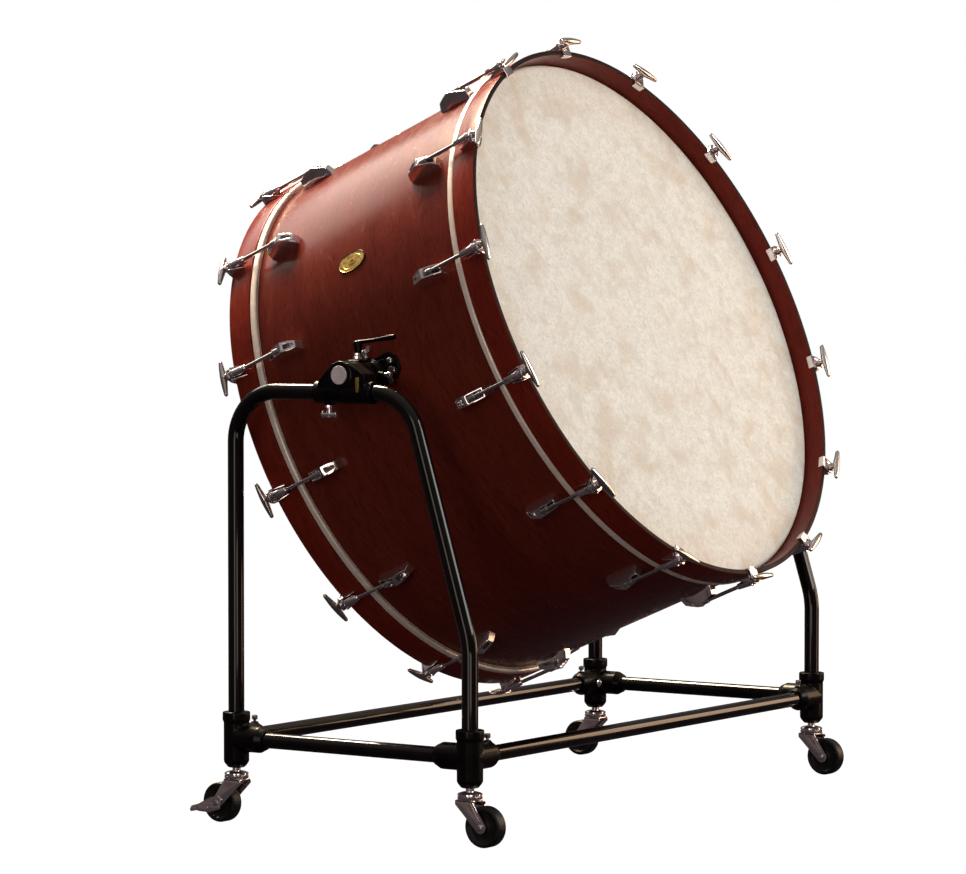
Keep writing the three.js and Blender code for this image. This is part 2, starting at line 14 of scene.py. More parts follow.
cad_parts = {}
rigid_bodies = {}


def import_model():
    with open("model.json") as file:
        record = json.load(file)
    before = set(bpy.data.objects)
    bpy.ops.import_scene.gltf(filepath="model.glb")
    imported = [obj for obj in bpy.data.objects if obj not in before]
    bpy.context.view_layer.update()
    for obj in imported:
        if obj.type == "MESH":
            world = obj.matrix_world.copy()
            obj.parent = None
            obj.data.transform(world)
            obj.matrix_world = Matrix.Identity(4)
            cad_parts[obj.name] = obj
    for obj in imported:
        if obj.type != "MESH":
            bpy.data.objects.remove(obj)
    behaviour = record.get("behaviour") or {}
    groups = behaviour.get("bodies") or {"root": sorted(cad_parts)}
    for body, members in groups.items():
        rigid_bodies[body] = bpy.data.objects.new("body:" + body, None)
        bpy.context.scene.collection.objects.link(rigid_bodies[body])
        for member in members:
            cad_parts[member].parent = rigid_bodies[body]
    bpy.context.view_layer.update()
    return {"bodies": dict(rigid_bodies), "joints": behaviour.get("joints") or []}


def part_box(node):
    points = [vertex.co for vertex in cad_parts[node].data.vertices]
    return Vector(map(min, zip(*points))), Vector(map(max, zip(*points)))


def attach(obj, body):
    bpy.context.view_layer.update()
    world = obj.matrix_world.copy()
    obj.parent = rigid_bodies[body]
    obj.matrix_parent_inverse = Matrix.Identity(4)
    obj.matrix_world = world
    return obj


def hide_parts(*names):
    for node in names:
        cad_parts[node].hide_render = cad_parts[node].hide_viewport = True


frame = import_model()
scene = bpy.context.scene
joints = {joint["name"]: joint for joint in frame["joints"]}
MM = 0.001

# ---------------------------------------------------------------- driving dimensions, millimetres
SHELL_RADIUS = 457.2
SHELL_HALF = 228.6
SHELL_WALL = 8.0
EDGE_ROUND = 7.5            # bearing edge that the film rolls over
RING_SIDES = 252            # sides of every large ring
FILM_LEVEL = 229.9          # outside face of the film
FILM_THICK = 1.0
FILM_FLAT = 449.5           # radius where the film starts to roll down
FILM_COLLAR = 458.7
FLESH_OUTER, FLESH_LOW, FLESH_HIGH = 466.5, 207.6, 219.5
HOOP_INNER, HOOP_OUTER = 459.2, 467.5
HOOP_LOW, HOOP_HIGH = 219.9, 264.1
ROD_AXIS = 478.0
ROD_RADIUS = 3.25
ROD_TIP = 154.7
LUG_NOSE, LUG_CROWN, LUG_END = 123.0, 150.0, 184.0
LUG_LIP, LUG_TOP, LUG_FLOOR = 472.5, 483.5, 462.0
NUT_HALF = 4.5
CLAW_FRONT = 267.1
HANDLE_HALF = 31.0
TUBE_RADIUS = 12.9
RAIL_RADIUS = 12.5
SHAFT_RADIUS = 13.0
WHEEL_RADIUS = 32.0


def in_mm(point):
    return Vector(point) / MM


# ---------------------------------------------------------------- frames taken from the joints
pivot = Vector(joints["drum_tilt"]["pos_m"])
front_axis = Vector(joints["front_rod_01_turn"]["axis"]).normalized()
side_axis = Vector((1.0, 0.0, 0.0))
up_axis = front_axis.cross(side_axis)
drum_frame = Matrix.Identity(4)
for column, axis in enumerate((side_axis, up_axis, front_axis)):
    for row in range(3):
        drum_frame[row][column] = axis[row]
drum_frame.translation = pivot
world_frame = Matrix.Identity(4)
# left-hand pieces stay, right-hand ones are mirrored across the middle plane
SIDES = (("left", world_frame), ("right", Matrix.Scale(-1, 4, side_axis)))


def station(joint_name):
    """The turn about the drum's axis that stands this joint's rod upright, and flips it for the rear."""
    joint = joints[joint_name]
    spot = drum_frame.inverted() @ Vector(joint["pos_m"])
    turn = Matrix.Rotation(-math.atan2(spot.x, spot.y), 4, "Z")
    if joint_name.startswith("rear"):
        turn = turn @ Matrix.Rotation(math.pi, 4, "Y")
    return turn


rod_names = {
    side: sorted(n for n in frame["bodies"] if n.startswith(f"{side}_rod_"))
    for side in ("front", "rear")
}
stations = {name: station(f"{name}_turn") for side in rod_names for name in rod_names[side]}


# ---------------------------------------------------------------- mesh making
def around(sides):
    """The angles of evenly spaced points on a circle."""
    return [2 * math.pi * k / sides for k in range(sides)]


def skin(rings, loop=False):
    """A closed surface through rings of points; the last ring joins the first one if loop is set."""
    mesh = bmesh.new()
    rows = [[mesh.verts.new(point) for point in ring] for ring in rings]
    pairs = list(zip(rows, rows[1:]))
    if loop:
        pairs.append((rows[-1], rows[0]))
    for one, two in pairs:
        for k in range(len(one)):
            after = (k + 1) % len(one)
            mesh.faces.new((one[k], one[after], two[after], two[k]))
    if not loop:
        mesh.faces.new(rows[0])
        mesh.faces.new(rows[-1])
    bmesh.ops.recalc_face_normals(mesh, faces=mesh.faces)
    return mesh


def turned(profile, sides=48, axis="Z", centre=(0, 0, 0)):
    """A solid of revolution through (along, radius) points, closed flat at both ends."""
    rings = []
    for along, radius in profile:
        rings.append([Vector((radius * math.cos(a), radius * math.sin(a), along)) for a in around(sides)])
    mesh = skin(rings)
    if axis == "X":
        bmesh.ops.transform(mesh, matrix=Matrix.Rotation(math.pi / 2, 4, "Y"), verts=mesh.verts)
    if axis == "Y":
        bmesh.ops.transform(mesh, matrix=Matrix.Rotation(-math.pi / 2, 4, "X"), verts=mesh.verts)
    bmesh.ops.translate(mesh, vec=centre, verts=mesh.verts)
    return mesh


def hoop_ring(profile, sides=RING_SIDES):
    """A ring about Z through a closed loop of (radius, along) points."""
    rings = []
    for angle in around(sides):
        rings.append([Vector((r * math.sin(angle), r * math.cos(angle), z)) for r, z in profile])
    return skin(rings, loop=True)


def arc(centre, radius, start, end, steps):
    """Points on an arc, its angles in degrees."""
    points = []
    for k in range(steps + 1):
        angle = math.radians(start + (end - start) * k / steps)
        points.append((centre[0] + radius * math.cos(angle), centre[1] + radius * math.sin(angle)))
    return points


def rounded(corners, radius, steps=5):
    """An outline with each corner rounded to the radius."""
    outline = []
    for k, corner in enumerate(corners):
        here = Vector(corner)
        into = (Vector(corners[k - 1]) - here).normalized()
        out = (Vector(corners[(k + 1) % len(corners)]) - here).normalized()
        half_angle = into.angle(out) / 2
        reach = radius / math.tan(half_angle)
        middle = here + (into + out).normalized() * (radius / math.sin(half_angle))
        first = here + into * reach - middle
        last = here + out * reach - middle
        sweep = first.angle_signed(last)
        for step in range(steps + 1):
            turn = Matrix.Rotation(-sweep * step / steps, 2)
            outline.append(tuple(middle + turn @ first))
    return outline


def plate(outline, low, high, across="X"):
    """A flat outline extruded from low to high. Its two axes are the ones after the axis across."""
    order = {"X": lambda a, b, c: (c, a, b), "Y": lambda a, b, c: (b, c, a), "Z": lambda a, b, c: (a, b, c)}
    place = order[across]
    return skin([[place(a, b, level) for a, b in outline] for level in (low, high)])


def block(low, high):
    outline = [(low[0], low[1]), (high[0], low[1]), (high[0], high[1]), (low[0], high[1])]
    return plate(outline, low[2], high[2], "Z")


def bar(start, end, radius, end_radius=None, sides=32):
    """A round bar between two points."""
    start, end = Vector(start), Vector(end)
    span = end - start
    mesh = turned([(0, radius), (span.length, radius if end_radius is None else end_radius)], sides)
    place = Matrix.Translation(start) @ span.to_track_quat("Z", "Y").to_matrix().to_4x4()
    bmesh.ops.transform(mesh, matrix=place, verts=mesh.verts)
    return mesh


def swept(path, radius, sides=40):
    """A round tube along a path that lies in a plane of constant X."""
    rings = []
    for k, point in enumerate(path):
        ahead = path[min(k + 1, len(path) - 1)] - path[max(k - 1, 0)]
        along = ahead.normalized()
        across = along.cross(side_axis).normalized()
        rings.append([point + radius * (math.cos(a) * side_axis + math.sin(a) * across)
                      for a in around(sides)])
    return skin(rings)


def moved(mesh, matrix):
    """A copy of the mesh, moved; a mirrored copy has its faces turned back outwards."""
    copy = mesh.copy()
    bmesh.ops.transform(copy, matrix=matrix, verts=copy.verts)
    if matrix.determinant() < 0:
        bmesh.ops.reverse_faces(copy, faces=copy.faces)
    return copy


def joined(*parts):
    whole = bmesh.new()
    for part in parts:
        data = bpy.data.meshes.new("part")
        part.to_mesh(data)
        whole.from_mesh(data)
        bpy.data.meshes.remove(data)
    return whole


def soften(mesh, width, steps=2, angle=30):
    """Rounds every edge sharper than the angle."""
    limit = math.radians(angle)
    edges = [e for e in mesh.edges if len(e.link_faces) == 2 and e.calc_face_angle(0) > limit]
    bmesh.ops.bevel(
        mesh, geom=edges, offset=width, offset_type="OFFSET", segments=steps,
        profile=0.6, affect="EDGES", clamp_overlap=True,
    )
    return mesh


def as_worker(mesh):
    data = bpy.data.meshes.new("work")
    mesh.to_mesh(data)
    worker = bpy.data.objects.new("work", data)
    scene.collection.objects.link(worker)
    return worker


def evaluated(worker, *helpers):
    """The mesh that the worker's modifiers make; the worker and its helpers are removed."""
    result = bmesh.new()
    data = bpy.data.meshes.new_from_object(worker.evaluated_get(bpy.context.evaluated_depsgraph_get()))
    result.from_mesh(data)
    bpy.data.meshes.remove(data)
    for done in (worker, *helpers):
        data = done.data
        bpy.data.objects.remove(done)
        bpy.data.meshes.remove(data)
    return result


def cut(mesh, *tools):
    """The mesh less the tools."""
    worker = as_worker(mesh)
    helpers = [as_worker(tool) for tool in tools]
    for helper in helpers:
        modifier = worker.modifiers.new("cut", "BOOLEAN")
        modifier.operation = "DIFFERENCE"
        modifier.solver = "EXACT"
        modifier.object = helper
    return evaluated(worker, *helpers)


def cast(voxel, rounds, *parts):
    """Overlapping solids run together into one casting with soft inner corners."""
    worker = as_worker(joined(*parts))
    remesh = worker.modifiers.new("cast", "REMESH")
    remesh.mode = "VOXEL"
    remesh.voxel_size = voxel
    smooth = worker.modifiers.new("smooth", "SMOOTH")
    smooth.factor = 0.5
    smooth.iterations = rounds
    return evaluated(worker)


def finished(name, mesh, sharp=35):
    """Mesh data in metres from a mesh in millimetres, shaded smooth except at sharp edges."""
    data = bpy.data.meshes.new(name)
    scaled = moved(mesh, Matrix.Scale(MM, 4))
    scaled.to_mesh(data)
    data.shade_smooth()
    data.set_sharp_from_angle(angle=math.radians(sharp))
    return data


def piece(name, mesh, body, look, replaces=(), place=world_frame, sharp=35):
    """One named piece of the object, riding on a body, with its material and the CAD nodes it stands for."""
    data = mesh if isinstance(mesh, bpy.types.Mesh) else finished(name, mesh, sharp)
    if not data.materials:
        data.materials.append(look)
    item = bpy.data.objects.new(name, data)
    scene.collection.objects.link(item)
    item.matrix_world = place
    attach(item, body)
    if replaces:
        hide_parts(*replaces)
    return item


# ---------------------------------------------------------------- materials
def set_stops(node, stops):
    """Gives a colour ramp its (position, colour) stops; a single number stands for a grey."""
    elements = node.color_ramp.elements
    while len(elements) < len(stops):
        elements.new(0.5)
    for element, (position, colour) in zip(elements, stops):
        element.position = position
        element.color = (*colour, 1.0) if isinstance(colour, tuple) else (colour, colour, colour, 1.0)


class Look:
    """A material with a principled shader and short ways to add nodes to it."""

    def __init__(self, name, **shader_inputs):
        self.material = bpy.data.materials.new(name)
        self.material.use_nodes = True
        self.tree = self.material.node_tree
        self.shader = self.tree.nodes["Principled BSDF"]
        self.place = self.add("ShaderNodeTexCoord").outputs["Object"]
        for socket, value in shader_inputs.items():
            self.shader.inputs[socket.replace("_", " ")].default_value = value

    def add(self, kind, links=(), **settings):
        node = self.tree.nodes.new(kind)
        for name, value in settings.items():
            setattr(node, name, value)
        for socket, value in links:
            if isinstance(value, bpy.types.NodeSocket):
                self.tree.links.new(value, node.inputs[socket])
            else:
                node.inputs[socket].default_value = value
        return node

    def noise(self, scale, detail=4.0, distortion=0.0, roughness=0.5, shift=(0, 0, 0)):
        """Noise with this many cells to the metre, as one number or as one for each of X, Y and Z."""
        scale = (scale, scale, scale) if isinstance(scale, float) else scale
        mapping = self.add("ShaderNodeMapping", [
            ("Vector", self.place), ("Scale", scale), ("Location", shift),
        ])
        node = self.add("ShaderNodeTexNoise", [
            ("Vector", mapping.outputs["Vector"]), ("Scale", 1.0), ("Detail", detail),
            ("Distortion", distortion), ("Roughness", roughness),
        ])
        return node.outputs[0]

    def ramp(self, value, *stops):
        node = self.add("ShaderNodeValToRGB", [(0, value)])
        set_stops(node, stops)
        return node.outputs[0]

    def mix(self, factor, one, two):
        node = self.add("ShaderNodeMix", data_type="RGBA")
        for index, value in ((0, factor), (6, one), (7, two)):
            if isinstance(value, bpy.types.NodeSocket):
                self.tree.links.new(value, node.inputs[index])
            else:
                node.inputs[index].default_value = (*value, 1.0) if isinstance(value, tuple) else value
        return node.outputs[2]

    def maths(self, operation, one, two):
        return self.add("ShaderNodeMath", [(0, one), (1, two)], operation=operation).outputs[0]

    def spread(self, value, low, high, from_low=0.3, from_high=0.7):
        node = self.add("ShaderNodeMapRange", [
            ("Value", value), ("From Min", from_low), ("From Max", from_high),
            ("To Min", low), ("To Max", high),
        ])
        return node.outputs["Result"]

    def colour(self, value):
        self.tree.links.new(value, self.shader.inputs["Base Color"])

    def roughness(self, value):
        self.tree.links.new(value, self.shader.inputs["Roughness"])

    def bump(self, height, depth, strength=1.0):
        """Relief of this depth in metres."""
        node = self.add("ShaderNodeBump", [("Height", height), ("Distance", depth), ("Strength", strength)])
        self.tree.links.new(node.outputs["Normal"], self.shader.inputs["Normal"])


def grained_wood(name, gloss, dark, middle, light, pore):
    """Lacquered veneer whose grain runs round the drum, so it is stretched across X and Y."""
    look = Look(name, Coat_Weight=gloss * 0.3, Coat_Roughness=0.2, Specular_IOR_Level=gloss)
    bands = look.noise((2.0, 2.0, 26.0), 4.0, 0.8)
    grain = look.noise((16.0, 16.0, 420.0), 5.0, 0.3, roughness=0.65)
    figure = look.noise((13.0, 13.0, 42.0), 4.0, 2.2, shift=(3.1, 1.7, 0.4))
    pores = look.noise((64.0, 64.0, 470.0), 2.0, 0.4, shift=(0.3, 5.2, 1.1))
    tone = look.mix(0.42, look.mix(0.55, bands, figure), grain)
    colour = look.ramp(tone, (0.34, dark), (0.5, middle), (0.7, light))
    flecks = look.ramp(pores, (0.57, 0.0), (0.68, 1.0))
    look.colour(look.mix(look.maths("MULTIPLY", flecks, 0.6), colour, pore))
    look.roughness(look.spread(figure, 0.20, 0.28))
    look.bump(pores, 0.00002, 0.3)
    return look.material


def edge_black():
    """Near-black colour with a faint mottle, given to the hoop's front end faces."""
    look = Look("hoop_edge_black", Specular_IOR_Level=0.12)
    mottle = look.noise(60.0, 4.0)
    look.colour(look.ramp(mottle, (0.3, (0.004, 0.002, 0.002)), (0.7, (0.014, 0.006, 0.005))))
    look.roughness(look.spread(mottle, 0.45, 0.6))
    look.bump(look.noise(500.0, 3.0), 0.0002, 0.3)
    return look.material


def skin_film():
    """Cream film with pressed fibres and faint tan and grey clouds, a little darker at the rim."""
    look = Look("calf_effect_film", Specular_IOR_Level=0.25)
    clouds = look.noise(17.0, 4.0, 0.4)
    soft = look.noise(7.0, 3.0, 0.5, shift=(4.0, 2.0, 7.0))
    grey = look.noise(26.0, 4.0, 0.4, shift=(9.0, 5.0, 1.0))
    fibre = look.noise(85.0, 5.0, 1.4, roughness=0.7, shift=(1.0, 8.0, 3.0))
    strand = look.noise(210.0, 3.0, 2.0, shift=(6.0, 1.0, 5.0))
    speck = look.noise(420.0, 3.0)
    marble = look.mix(0.4, fibre, strand)
    base = look.ramp(marble, (0.38, (0.70, 0.69, 0.61)), (0.5, (0.835, 0.83, 0.755)),
                     (0.6, (0.93, 0.935, 0.89)))
    tan = look.ramp(look.mix(0.35, clouds, soft), (0.51, 0.0), (0.63, 1.0))
    base = look.mix(look.maths("MULTIPLY", tan, 0.5), base, (0.64, 0.54, 0.41))
    haze = look.ramp(grey, (0.53, 0.0), (0.68, 1.0))
    base = look.mix(look.maths("MULTIPLY", haze, 0.35), base, (0.60, 0.575, 0.51))
    flat = look.add("ShaderNodeVectorMath", [(0, look.place), (1, (1.0, 1.0, 0.0))], operation="MULTIPLY")
    distance = look.add("ShaderNodeVectorMath", [(0, flat.outputs[0])], operation="LENGTH").outputs["Value"]
    edge = look.spread(distance, 0.0, 0.5, 0.34, 0.452)
    rim = look.maths("MULTIPLY", edge, look.spread(clouds, 0.2, 1.0))
    look.colour(look.mix(rim, base, (0.66, 0.52, 0.36)))
    look.roughness(look.spread(fibre, 0.62, 0.5))
    look.bump(look.mix(0.5, fibre, speck), 0.0002, 0.25)
    return look.material


def polished(name, colour, low, high, relief=0.00002, patch=0.85, metal=1.0):
    """Plated or bright metal with faint smears and hairlines; patch is how dark its dullest smears are."""
    look = Look(name, Metallic=metal)
    smear = look.noise(38.0, 4.0, 0.6)
    hair = look.noise((40.0, 900.0, 900.0), 2.0)
    dull = tuple(channel * patch for channel in colour)
    look.colour(look.ramp(smear, (0.3, dull), (0.65, colour)))
    look.roughness(look.spread(look.mix(0.4, smear, hair), low, high))
    look.bump(look.mix(0.5, smear, hair), relief, 0.35)
    return look.material


def engraved_brass():
    """Badge brass: warm field with a brown patina and a fine stamped texture."""
    look = Look("badge_brass", Metallic=1.0)
    patina = look.noise(160.0, 5.0, 0.7)
    stipple = look.noise(900.0, 2.0)
    look.colour(look.ramp(patina, (0.36, (0.40, 0.22, 0.05)), (0.5, (0.72, 0.48, 0.13)),
                          (0.66, (0.88, 0.66, 0.24))))
    look.roughness(look.spread(patina, 0.45, 0.3))
    look.bump(stipple, 0.00015, 0.5)
    return look.material


def black_gloss(name, coat, low, high, relief, cells):
    """Black paint with a soft orange-peel surface and rubbed, browner patches."""
    look = Look(name, Coat_Weight=coat, Coat_Roughness=0.05, Specular_IOR_Level=0.06)
    wear = look.noise(14.0, 6.0, 0.8)
    peel = look.noise(cells, 3.0)
    look.colour(look.ramp(wear, (0.38, (0.0014, 0.0010, 0.0010)), (0.72, (0.0060, 0.0036, 0.0032))))
    look.roughness(look.spread(wear, low, high))
    look.bump(peel, relief, 0.5)
    return look.material


def tyre_rubber():
    look = Look("tyre_rubber", Specular_IOR_Level=0.25)
    dust = look.noise(70.0, 5.0, 0.5)
    grit = look.noise(700.0, 3.0)
    look.colour(look.ramp(dust, (0.35, (0.0035, 0.0035, 0.0035)), (0.75, (0.012, 0.011, 0.010))))
    look.roughness(look.spread(dust, 0.32, 0.5))
    look.bump(grit, 0.0002, 0.5)
    return look.material


shell_wood = grained_wood("mahogany_veneer", 0.1, (0.092, 0.0126, 0.0085), (0.128, 0.0185, 0.0108),
                          (0.165, 0.0270, 0.0138), (0.042, 0.0062, 0.0052))
hoop_wood = grained_wood("hoop_mahogany", 0.07, (0.120, 0.0125, 0.0078), (0.163, 0.0180, 0.0100),
                         (0.210, 0.0270, 0.0135), (0.060, 0.0075, 0.0058))
hoop_edge = edge_black()
film = skin_film()
chrome = polished("polished_chrome", (0.88, 0.81, 0.82), 0.04, 0.12, metal=0.95)
rod_steel = polished("plated_rod", (0.72, 0.66, 0.63), 0.12, 0.22)
aluminium = polished("brushed_aluminium", (0.95, 0.84, 0.75), 0.22, 0.30, 0.00001, 0.94, 0.30)
satin_steel = polished("satin_steel", (0.56, 0.53, 0.53), 0.30, 0.45)
pale_cap = polished("pale_cap", (0.86, 0.77, 0.80), 0.30, 0.45, metal=0.25)
badge_brass = engraved_brass()
tube_black = black_gloss("tube_black_enamel", 0.55, 0.12, 0.20, 0.00003, 200.0)
cast_black = black_gloss("casting_black_enamel", 0.14, 0.30, 0.44, 0.00018, 420.0)
tyre_black = tyre_rubber()


# ---------------------------------------------------------------- drum
def mirrored_z(profile):
    """The other half of a (radius, along) profile that is the same at both ends."""
    return [(radius, -along) for radius, along in reversed(profile)]


def make_shell():
    round_centre = (SHELL_RADIUS - EDGE_ROUND, SHELL_HALF - EDGE_ROUND)
    inner = SHELL_RADIUS - SHELL_WALL
    front_edge = arc(round_centre, EDGE_ROUND, 0, 90, 8) + [(inner, SHELL_HALF)]
    piece("shell_tube", hoop_ring(front_edge + mirrored_z(front_edge)), "drum", shell_wood,
          ["shell"], drum_frame)


def make_heads():
    roll = FILM_COLLAR - FILM_FLAT
    outside = arc((FILM_FLAT, FILM_LEVEL - roll), roll, 90, 0, 10) + [(FILM_COLLAR, FLESH_LOW + 1)]
    inside = [(FILM_COLLAR - FILM_THICK, FLESH_LOW + 1)]
    inside += arc((FILM_FLAT, FILM_LEVEL - roll), roll - FILM_THICK, 0, 90, 10)
    flat_rings = [60.0, 170.0, 290.0, 390.0]
    profile = [(FILM_LEVEL, radius) for radius in flat_rings]
    profile += [(along, radius) for radius, along in outside + inside]
    profile += [(FILM_LEVEL - FILM_THICK, radius) for radius in reversed(flat_rings)]
    flesh = rounded([(FILM_COLLAR + 0.3, FLESH_LOW), (FLESH_OUTER, FLESH_LOW),
                     (FLESH_OUTER, FLESH_HIGH), (FILM_COLLAR + 0.3, FLESH_HIGH)], 3.6, 6)
    hoop = rounded([(HOOP_INNER, HOOP_LOW), (HOOP_OUTER, HOOP_LOW),
                    (HOOP_OUTER, HOOP_HIGH), (HOOP_INNER, HOOP_HIGH)], 1.6, 4)
    for side, turn in (("front", 0.0), ("rear", math.pi)):
        place = drum_frame @ Matrix.Rotation(turn, 4, "Y")
        piece(f"{side}_film", turned(profile, RING_SIDES), "drum", film, [f"{side}_head"], place)
        piece(f"{side}_flesh_hoop", hoop_ring(flesh), "drum", aluminium, (), place)
        ring = piece(f"{side}_wood_hoop", hoop_ring(hoop), "drum", hoop_wood,
                     [f"{side}_hoop"], place)
        ring.data.materials.append(hoop_edge)
        for face in ring.data.polygons:
            if face.normal.z > 0.6:
                face.material_index = 1


def lug_mesh():
    """A lug with faceted sides, a long open pocket for the rod and a short one in its nose."""
    rings = []
    for foot, crest, top, foot_half, crease_half, crest_half in (
        (LUG_NOSE, LUG_NOSE + 4, LUG_LIP, 8.2, 7.0, 6.0),
        (LUG_NOSE + 12, LUG_NOSE + 14, 477.6, 9.4, 9.2, 8.2),
        (LUG_CROWN, LUG_CROWN, LUG_TOP, 9.6, 10.6, 8.6),
        (LUG_END - 16, LUG_END - 17, 478.4, 9.6, 9.6, 8.4),
        (LUG_END, LUG_END - 1, LUG_LIP, 9.4, 8.0, 7.9),
    ):
        root = SHELL_RADIUS - 0.8
        crease = root + (top - root) * 0.35
        half = [(foot_half, root, foot), (crease_half, crease, foot), (crest_half, top, crest)]
        rings.append([Vector(point) for point in half] + [Vector((-x, y, z)) for x, y, z in reversed(half)])
    body = skin(rings)
    pockets = []
    for near, far, near_half, far_half in (
        (LUG_CROWN + NUT_HALF, LUG_END - 3, 6.4, 6.4), (LUG_NOSE + 7, LUG_CROWN - NUT_HALF, 2.8, 5.0),
    ):
        outline = [(near, -near_half), (far, -far_half), (far, far_half), (near, near_half)]
        pockets.append(plate(rounded(outline, 1.6, 3), LUG_FLOOR, LUG_TOP + 15, "Y"))
    return soften(cut(body, *pockets), 0.6)


def nut_mesh():
    """The flange and the threaded sleeve of the swivel nut, on the rod's side of the lug's bridge."""
    bridge = LUG_CROWN + NUT_HALF
    flange = block((-5.4, ROD_AXIS - 6.2, bridge + 0.2), (5.4, ROD_AXIS + 4.6, bridge + 2.8))
    sleeve = turned([(157.0, 4.6), (168.6, 4.6), (169.4, 4.0)], 24, "Z", (0, ROD_AXIS, 0))
    bore = turned([(150.0, ROD_RADIUS + 0.35), (180.0, ROD_RADIUS + 0.35)], 24, "Z", (0, ROD_AXIS, 0))
    return joined(cut(soften(flange, 0.5), bore), cut(sleeve, bore))


def claw_mesh():
    """A claw: a hook over the hoop's edge, two prongs along its outside and a tapered barrel for the rod."""
    seat, mouth, half = HOOP_OUTER + 0.3, 456.2, 11.6
    hook = plate(rounded([(-half, mouth), (half, mouth), (half, 476.0), (8.0, 485.2), (-8.0, 485.2),
                          (-half, 476.0)], 1.8, 4), HOOP_HIGH + 0.3, CLAW_FRONT, "Z")
    lip = block((-10.8, mouth, 257.4), (10.8, FILM_COLLAR, HOOP_HIGH + 1.0))
    brow = block((-11.2, seat, 259.6), (11.2, 474.4, HOOP_HIGH + 1.0))
    parts = [soften(lip, 0.6), soften(brow, 0.8)]
    for hand in (-1, 1):
        rings = []
        for along, middle, top in ((235.8, 8.0, 470.4), (248.0, 9.4, 476.0), (262.0, 10.9, 481.6)):
            rings.append([(hand * middle - 1.2, seat, along), (hand * middle + 1.2, seat, along),
                          (hand * middle + 0.9, top, along), (hand * middle - 0.9, top, along)])
        parts.append(soften(skin(rings), 0.4))
    bore = turned([(200.0, 3.8), (290.0, 3.8)], 24, "Z", (0, ROD_AXIS, 0))
    barrel = turned([(229.6, 4.3), (230.4, 4.9), (255.6, 7.2), (256.0, 8.3), (258.6, 8.3), (259.0, 7.0),
                     (266.0, 6.6), (269.4, 6.6), (270.0, 6.0)], 32, "Z", (0, ROD_AXIS, 0))
    return joined(soften(cut(hook, bore), 0.5), cut(barrel, bore), *parts)


def rod_mesh():
    """A tension rod with the end of its thread, its collar and its T-handle."""
    pitch, depth, thread_end = 1.3, 0.22, 192.0
    profile = [(ROD_TIP, ROD_RADIUS - 0.6)]
    along = ROD_TIP + 0.6
    while along < thread_end:
        profile.append((along, ROD_RADIUS))
        profile.append((along + pitch / 2, ROD_RADIUS - depth))
        along += pitch
    profile += [(along + 1, ROD_RADIUS), (270.2, ROD_RADIUS), (270.3, 6.6), (271.6, 6.6), (271.8, 4.9),
                (274.0, 4.9), (279.0, 5.4)]
    shank = turned(profile, 20, "Z", (0, ROD_AXIS, 0))
    rings = []
    steps = 16
    for k in range(-steps, steps + 1):
        share = abs(k) / steps
        end = math.sqrt(1 - max(0.0, (share - 0.92) / 0.08) ** 2 * 0.75)
        half_depth = (5.6 - 2.6 * share ** 1.2) * end
        outside = 285.0 - 2.2 * share ** 2
        inside = 272.8 + 4.6 * share ** 0.75
        middle, half_width = (outside + inside) / 2, (outside - inside) / 2 * end
        ring = []
        for angle in around(20):
            lift = math.copysign(abs(math.sin(angle)) ** 0.7, math.sin(angle))
            ring.append((HANDLE_HALF * k / steps, ROD_AXIS + half_depth * math.cos(angle),
                         middle + half_width * lift))
        rings.append(ring)
    return joined(shank, soften(skin(rings), 0.4, 2, 60))


def make_tension_gear():
    lug, nut, claw = lug_mesh(), nut_mesh(), claw_mesh()
    rod = finished("tension_rod", rod_mesh(), 50)
    for side, names in rod_names.items():
        turns = [stations[name] for name in names]
        for label, mesh, look, sharp in (
            ("lugs", lug, chrome, 14), ("lug_nuts", nut, satin_steel, 35), ("claws", claw, chrome, 35),
        ):
            piece(f"{side}_{label}", joined(*[moved(mesh, turn) for turn in turns]), "drum", look,
                  (), drum_frame, sharp)
        for name in names:
            number = name.rsplit("_", 1)[1]
            piece(f"{side}_tension_rod_{number}", rod, name, rod_steel, [name],
                  drum_frame @ stations[name])


def badge_ovals(section, loop=False):
    """Rings of an oval bent to the shell, one for each (share of its size, lift off the shell)."""
    long_half, short_half = 29.0, 18.0
    rings = []
    for share, lift in section:
        ring = []
        for angle in around(72):
            across, along = short_half * share * math.cos(angle), long_half * share * math.sin(angle)
            height = math.sqrt((SHELL_RADIUS + lift) ** 2 - across ** 2)
            ring.append((across, height, along - 2.0))
        rings.append(ring)
    return skin(rings, loop)


def make_badge():
    """An oval brass plate with a vent eyelet and a dark border, and the grommet on top of the shell."""
    turn = Matrix.Rotation(math.radians(64.8), 4, "Z")
    grommet_turn = Matrix.Rotation(math.radians(14.0), 4, "Z")
    plate_section = ((0.97, 0.1), (0.97, 1.5), (0.90, 1.7), (0.87, 1.2), (0.70, 1.2), (0.68, 1.45),
                     (0.65, 1.45), (0.63, 1.2), (0.25, 1.2), (0.23, 2.2), (0.15, 2.2), (0.12, 0.6))
    border_section = ((1.0, 0.15), (1.0, 1.8), (0.985, 2.0), (0.94, 2.0), (0.925, 1.4))
    piece("oval_badge", moved(badge_ovals(plate_section), turn), "drum", badge_brass,
          ["vent_badge"], drum_frame, 25)
    piece("oval_badge_border", moved(badge_ovals(border_section, True), turn), "drum", cast_black,
          (), drum_frame, 25)
    grommet = turned([(-1.0, 6.4), (0.8, 6.4), (1.8, 4.8), (2.4, 4.2), (2.8, 2.8)], 28, "Y",
                     (0, SHELL_RADIUS, -30.0))
    piece("top_grommet", moved(grommet, grommet_turn), "drum", satin_steel, (), drum_frame)


